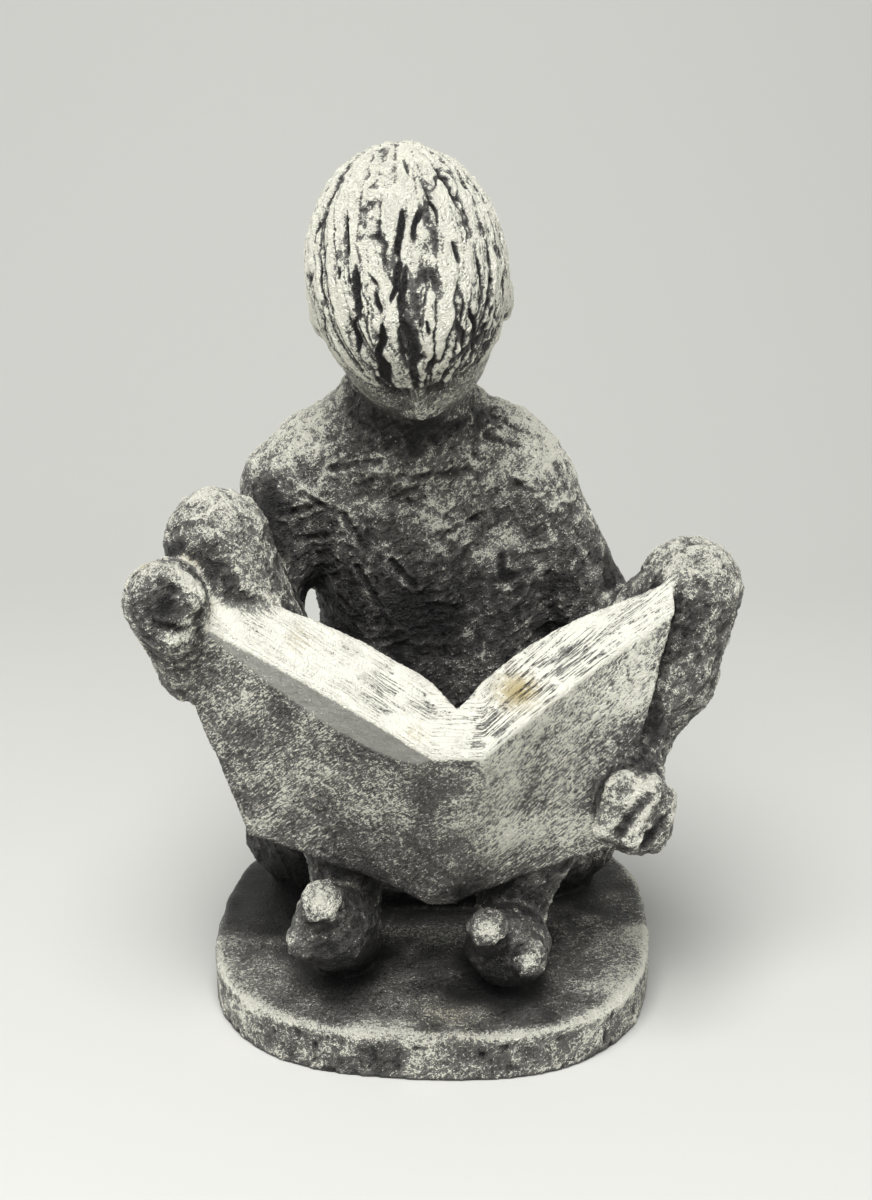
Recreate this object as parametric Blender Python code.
"""A boy sitting on a low slab with an open book on his raised knees, one cast piece.

X points to the right of somebody who faces the figure, Y away from them, Z up.
The origin is the middle of the slab's flat underside.  The body is laid out as
shares of its own height over the slab, so a new height rescales the whole pose.
Every limb, the head, the book and the slab overlap, and are then taken
together as one skin, softened and cut flat underneath.
"""
from math import cos, pi, radians, sin

import bmesh
import bpy
from mathutils import Euler, Matrix, Vector

# Driving sizes, in metres
FIGURE_HEIGHT = 0.258      # underside of the slab to the top of the head
SLAB_WIDTH = 0.134
SLAB_DEPTH = 0.140
SLAB_THICKNESS = 0.015
SLAB_EDGE = 0.004          # rounding of the slab's upper rim
BOOK_THICKNESS = 0.0250    # cover and pages together, beside the spine
GUTTER_DEPTH = 0.0160      # cover and pages together, in the fold between the pages
SPINE_WIDTH = 0.0140       # across the flat back of the book
ARM_RADIUS = 0.0140        # at the shoulder
LEG_RADIUS = 0.0140        # at the knee

# Shape of the slab in plan
SLAB_SQUARENESS = 2.6      # 2 is an ellipse, larger is nearer a rectangle
SLAB_TURN = radians(-3.5)
SLAB_CENTRE = (-0.0006, 0.0080)
SLAB_STEPS = 64

# Skin: voxel size and the share of faces kept, so the piece stays a light solid at any height
SKIN_VOXEL = FIGURE_HEIGHT / 117
SKIN_KEEP = 0.122
SKIN_SMOOTH_STEPS = 8
ROUND_SEGMENTS = 20

# The pose, as shares of the height above the slab
CROWN = 0.992              # share at which the top of the head lies
BODY = (FIGURE_HEIGHT - SLAB_THICKNESS) / CROWN
POSE = {
    "hip_left": (-0.150, 0.122, 0.118), "hip_right": (0.090, 0.120, 0.135),
    "knee_left": (-0.251, -0.082, 0.549), "knee_right": (0.300, -0.046, 0.477),
    "calf_left": (-0.222, -0.085, 0.446), "calf_right": (0.270, -0.050, 0.375),
    "ankle_left": (-0.108, -0.085, 0.150), "ankle_right": (0.104, -0.085, 0.127),
    "heel_left": (-0.114, -0.092, 0.037), "heel_right": (0.080, -0.100, 0.037),
    "ball_left": (-0.122, -0.156, 0.088), "ball_right": (0.088, -0.150, 0.062),
    "toe_left": (-0.134, -0.198, 0.145), "toe_right": (0.061, -0.196, 0.108),
    "small_toe_left": (-0.152, -0.188, 0.088), "small_toe_right": (0.108, -0.200, 0.072),
    "shoulder_left": (-0.171, 0.061, 0.572), "shoulder_right": (0.104, 0.061, 0.576),
    "elbow_left": (-0.247, 0.041, 0.318), "elbow_right": (0.256, 0.045, 0.300),
    "wrist_left": (-0.280, -0.110, 0.404), "wrist_right": (0.226, -0.110, 0.272),
    "knuckle_left": (-0.303, -0.166, 0.506), "knuckle_right": (0.231, -0.166, 0.240),
    "neck_base": (-0.034, 0.046, 0.646), "neck_top": (-0.030, 0.010, 0.740),
    "collar_left": (-0.134, 0.054, 0.610), "collar_right": (0.076, 0.054, 0.612),
    "flank_right": (0.078, 0.080, 0.330), "armpit_right": (0.082, 0.062, 0.480),
    "finger_right_1": (0.242, -0.196, 0.288), "tip_right_1": (0.220, -0.206, 0.230),
    "finger_right_2": (0.213, -0.192, 0.290), "tip_right_2": (0.196, -0.198, 0.238),
    "finger_right_3": (0.258, -0.184, 0.268), "tip_right_3": (0.248, -0.196, 0.224),
    "finger_left_1": (-0.306, -0.180, 0.536), "tip_left_1": (-0.270, -0.190, 0.520),
    "finger_left_2": (-0.322, -0.186, 0.500), "tip_left_2": (-0.296, -0.196, 0.470),
    "finger_left_3": (-0.304, -0.184, 0.478), "tip_left_3": (-0.272, -0.190, 0.462),
}
BONES = (   # from, to, radius at each end as a share of the arm or leg radius
    ("shoulder", "elbow", ARM_RADIUS, 1.03, 0.78), ("elbow", "wrist", ARM_RADIUS, 0.78, 0.68),
    ("wrist", "knuckle", ARM_RADIUS, 0.68, 0.80), ("hip", "knee", LEG_RADIUS, 1.52, 0.98),
    ("knee", "calf", LEG_RADIUS, 1.02, 1.08), ("calf", "ankle", LEG_RADIUS, 1.08, 0.78),
    ("ankle", "heel", LEG_RADIUS, 0.78, 0.72), ("heel", "ball", LEG_RADIUS, 0.72, 0.87),
    ("ball", "toe", LEG_RADIUS, 0.58, 0.42), ("ball", "small_toe", LEG_RADIUS, 0.58, 0.42),
)
SHOULDERS = (   # from, to, radius at each end as a share of the body height
    ("collar_left", "collar_right", 0.054, 0.054), ("shoulder_left", "shoulder_right", 0.058, 0.058),
    ("neck_base", "collar_left", 0.078, 0.056), ("neck_base", "collar_right", 0.078, 0.056),
    ("neck_base", "neck_top", 0.082, 0.066), ("flank_right", "armpit_right", 0.060, 0.062),
) + tuple((f"finger_{side}_{n}", f"tip_{side}_{n}", 0.018, 0.015)
          for side in ("left", "right") for n in (1, 2, 3))
TRUNK = (   # level, middle across and back, half width and half depth, as shares of the body height
    (0.000, -0.004, 0.142, 0.205, 0.090), (0.030, -0.004, 0.144, 0.236, 0.108),
    (0.075, -0.006, 0.146, 0.246, 0.116), (0.130, -0.008, 0.144, 0.206, 0.114),
    (0.200, -0.013, 0.136, 0.152, 0.104), (0.280, -0.018, 0.124, 0.128, 0.096),
    (0.360, -0.022, 0.110, 0.122, 0.095), (0.440, -0.027, 0.092, 0.126, 0.096),
    (0.510, -0.032, 0.076, 0.142, 0.092), (0.570, -0.034, 0.064, 0.146, 0.082),
    (0.620, -0.034, 0.056, 0.122, 0.070), (0.670, -0.034, 0.046, 0.080, 0.060),
)

# The head, in its own upright frame: middle and half sizes as shares of the body height
HEAD_MIDDLE = (-0.031, -0.041, 0.837)
HEAD_BOW = radians(50.0)
HEAD_LEAN = radians(-6.0)
HEAD_MASSES = (
    ((0.000, 0.006, 0.016), (0.113, 0.143, 0.138)),        # skull under the hair
    ((0.000, -0.040, -0.045), (0.090, 0.090, 0.100)),      # cheeks
    ((0.000, -0.072, -0.112), (0.052, 0.046, 0.040)),      # jaw and chin
    ((0.000, -0.132, -0.038), (0.013, 0.020, 0.034)),      # nose
    ((0.000, -0.118, -0.090), (0.028, 0.018, 0.014)),      # mouth
    ((-0.102, -0.008, -0.050), (0.018, 0.026, 0.038)),     # ears
    ((0.102, -0.008, -0.050), (0.018, 0.026, 0.038)),
)

# The book: ends of the spine and corners of each cover's outer face, as shares of the body height
SPINE_TOP = (0.024, -0.250, 0.352)
SPINE_FOOT = (0.006, -0.160, 0.118)
COVERS = (
    (-1, (-0.327, -0.160, 0.514), (-0.220, -0.135, 0.196)),   # side, upper and lower outer corner
    (1, (0.273, -0.127, 0.482), (0.210, -0.130, 0.176)),
)
LEAF_SWELL = 0.012         # how far a cover bows, share of the body height
LEAF_SLOPE = radians(33.0)  # the page edges rise this much toward the reader
LEAF_STEPS = 12


def clear_scene():
    for old in list(bpy.data.objects):
        bpy.data.objects.remove(old, do_unlink=True)


def place(share):
    """A point given as shares of the body height, in metres over the slab."""
    return Vector((share[0] * BODY, share[1] * BODY, SLAB_THICKNESS + share[2] * BODY))


def add_bone(bm, start, end, radius_start, radius_end):
    """A tapered limb with a ball at each end."""
    axis = end - start
    turn = axis.to_track_quat("Z", "Y").to_matrix().to_4x4()
    bmesh.ops.create_cone(
        bm, cap_ends=True, segments=ROUND_SEGMENTS, radius1=radius_start, radius2=radius_end,
        depth=axis.length, matrix=Matrix.Translation((start + end) / 2) @ turn)
    for point, radius in ((start, radius_start), (end, radius_end)):
        bmesh.ops.create_uvsphere(
            bm, u_segments=ROUND_SEGMENTS, v_segments=ROUND_SEGMENTS // 2, radius=radius,
            matrix=Matrix.Translation(point))


def add_mass(bm, frame, middle, half_sizes):
    """A full rounded form, in shares of the body height inside the given frame."""
    bmesh.ops.create_uvsphere(
        bm, u_segments=2 * ROUND_SEGMENTS, v_segments=ROUND_SEGMENTS, radius=BODY,
        matrix=frame @ Matrix.Translation(Vector(middle) * BODY)
        @ Matrix.Diagonal((*half_sizes, 1.0)))


def add_tube(bm, rings):
    """A closed tube through rings of points, with a flat end at either side."""
    rings = [[bm.verts.new(point) for point in ring] for ring in rings]
    for lower, upper in zip(rings, rings[1:]):
        for i in range(len(lower)):
            j = (i + 1) % len(lower)
            bm.faces.new((lower[i], lower[j], upper[j], upper[i]))
    bm.faces.new(rings[-1])
    bm.faces.new(rings[0][::-1])


def add_trunk(bm):
    """Seat, waist and chest as one tube of oval sections."""
    turns = [2 * pi * step / (2 * ROUND_SEGMENTS) for step in range(2 * ROUND_SEGMENTS)]
    add_tube(bm, [[place((across + half_width * cos(turn), back + half_depth * sin(turn), level))
                   for turn in turns] for level, across, back, half_width, half_depth in TRUNK])


def add_figure(bm):
    for side in ("left", "right"):
        for first, second, radius, share_first, share_second in BONES:
            add_bone(bm, place(POSE[f"{first}_{side}"]), place(POSE[f"{second}_{side}"]),
                     radius * share_first, radius * share_second)
    for first, second, share_first, share_second in SHOULDERS:
        add_bone(bm, place(POSE[first]), place(POSE[second]),
                 share_first * BODY, share_second * BODY)
    add_trunk(bm)
    bowed = Matrix.Translation(place(HEAD_MIDDLE)) \
        @ Euler((HEAD_BOW, HEAD_LEAN, 0.0), "XYZ").to_matrix().to_4x4()
    for middle, half_sizes in HEAD_MASSES:
        add_mass(bm, bowed, middle, half_sizes)


def leaf_thickness(share):
    """Cover and pages at a share of the way out: swelling by the gutter, thin at the edge."""
    return BOOK_THICKNESS * (1 - 0.56 * share + 0.85 * share * (1 - share) ** 2)


def add_book_side(bm, side, top_corner, foot_corner):
    """One cover with its pages: a four-cornered leaf, bowed from the spine outward."""
    half_spine = Vector((side * SPINE_WIDTH / 2, 0.0, 0.0))
    spine = (place(SPINE_FOOT) + half_spine / 2, place(SPINE_TOP) + half_spine)
    edge = (place(foot_corner), place(top_corner))
    swell = Vector((0.0, LEAF_SWELL * BODY, 0.0))
    back = Vector((0.0, cos(LEAF_SLOPE), sin(LEAF_SLOPE)))
    covers, pages = [], []
    for j in range(LEAF_STEPS + 1):
        inner, outer = (end[0].lerp(end[1], j / LEAF_STEPS) for end in (spine, edge))
        cover_row = [inner.lerp(outer, i / LEAF_STEPS) + swell * sin(pi * i / LEAF_STEPS)
                     for i in range(LEAF_STEPS + 1)]
        page_row = [point + back * leaf_thickness(i / LEAF_STEPS)
                    for i, point in enumerate(cover_row)]
        page_row.insert(0, cover_row[0] - half_spine + back * GUTTER_DEPTH)
        cover_row.insert(0, cover_row[0] - 2 * half_spine)
        covers.append([bm.verts.new(point) for point in cover_row])
        pages.append([bm.verts.new(point) for point in page_row])
    faces = [(rows[j][i], rows[j][i + 1], rows[j + 1][i + 1], rows[j + 1][i])
             for rows in (covers, pages) for j in range(LEAF_STEPS) for i in range(LEAF_STEPS + 1)]
    rims = [(covers[0], pages[0]), (covers[-1], pages[-1])]
    rims += [([row[end] for row in covers], [row[end] for row in pages]) for end in (0, -1)]
    faces += [(near[i], near[i + 1], far[i + 1], far[i])
              for near, far in rims for i in range(len(near) - 1)]
    made = [bm.faces.new(corners) for corners in faces]
    bmesh.ops.recalc_face_normals(bm, faces=made)


def add_slab(bm):
    """The low plinth: a rounded rectangle in plan with a softened upper rim."""
    rings = []
    for inset, level in ((0.0, -SLAB_THICKNESS), (0.0, SLAB_THICKNESS - SLAB_EDGE),
                         (SLAB_EDGE * (1 - cos(pi / 4)), SLAB_THICKNESS - SLAB_EDGE * (1 - sin(pi / 4))),
                         (SLAB_EDGE, SLAB_THICKNESS)):
        ring = []
        for step in range(SLAB_STEPS):
            angle = 2 * pi * step / SLAB_STEPS
            reach = (abs(cos(angle)) ** SLAB_SQUARENESS
                     + abs(sin(angle)) ** SLAB_SQUARENESS) ** (-1 / SLAB_SQUARENESS)
            point = Vector(((SLAB_WIDTH / 2 - inset) * cos(angle) * reach,
                            (SLAB_DEPTH / 2 - inset) * sin(angle) * reach, level))
            point.rotate(Euler((0.0, 0.0, SLAB_TURN)))
            ring.append(point + Vector((*SLAB_CENTRE, 0.0)))
        rings.append(ring)
    add_tube(bm, rings)


def make_ground_cutter():
    """Everything under the ground plane, taken off so the piece stands flat."""
    bm = bmesh.new()
    bmesh.ops.create_cube(bm, size=1.0, matrix=Matrix.Translation((0.0, 0.0, -0.5)))
    mesh = bpy.data.meshes.new("ground_cutter")
    bm.to_mesh(mesh)
    bm.free()
    cutter = bpy.data.objects.new("ground_cutter", mesh)
    cutter.hide_render = True
    cutter.display_type = "WIRE"
    bpy.context.scene.collection.objects.link(cutter)
    return cutter


def make_finish():
    """Cast stone painted black and rubbed with silver."""
    finish = bpy.data.materials.new("silvered_black_cast_stone")
    finish.use_nodes = True
    shader = finish.node_tree.nodes["Principled BSDF"]
    shader.inputs["Base Color"].default_value = (0.16, 0.16, 0.16, 1.0)
    shader.inputs["Metallic"].default_value = 0.3
    shader.inputs["Roughness"].default_value = 0.55
    return finish


def make_reading_boy():
    bm = bmesh.new()
    add_slab(bm)
    add_figure(bm)
    for side, top_corner, foot_corner in COVERS:
        add_book_side(bm, side, top_corner, foot_corner)
    mesh = bpy.data.meshes.new("reading_boy")
    bm.to_mesh(mesh)
    bm.free()
    mesh.materials.append(make_finish())
    boy = bpy.data.objects.new("reading_boy", mesh)
    bpy.context.scene.collection.objects.link(boy)

    skin = boy.modifiers.new("skin", "REMESH")
    skin.mode = "VOXEL"
    skin.voxel_size = SKIN_VOXEL
    soften = boy.modifiers.new("soften", "SMOOTH")
    soften.factor = 0.5
    soften.iterations = SKIN_SMOOTH_STEPS
    lighten = boy.modifiers.new("lighten", "DECIMATE")
    lighten.ratio = SKIN_KEEP
    lighten.use_collapse_triangulate = True
    flatten = boy.modifiers.new("flatten", "BOOLEAN")
    flatten.operation = "DIFFERENCE"
    flatten.solver = "EXACT"
    flatten.object = make_ground_cutter()


clear_scene()
make_reading_boy()
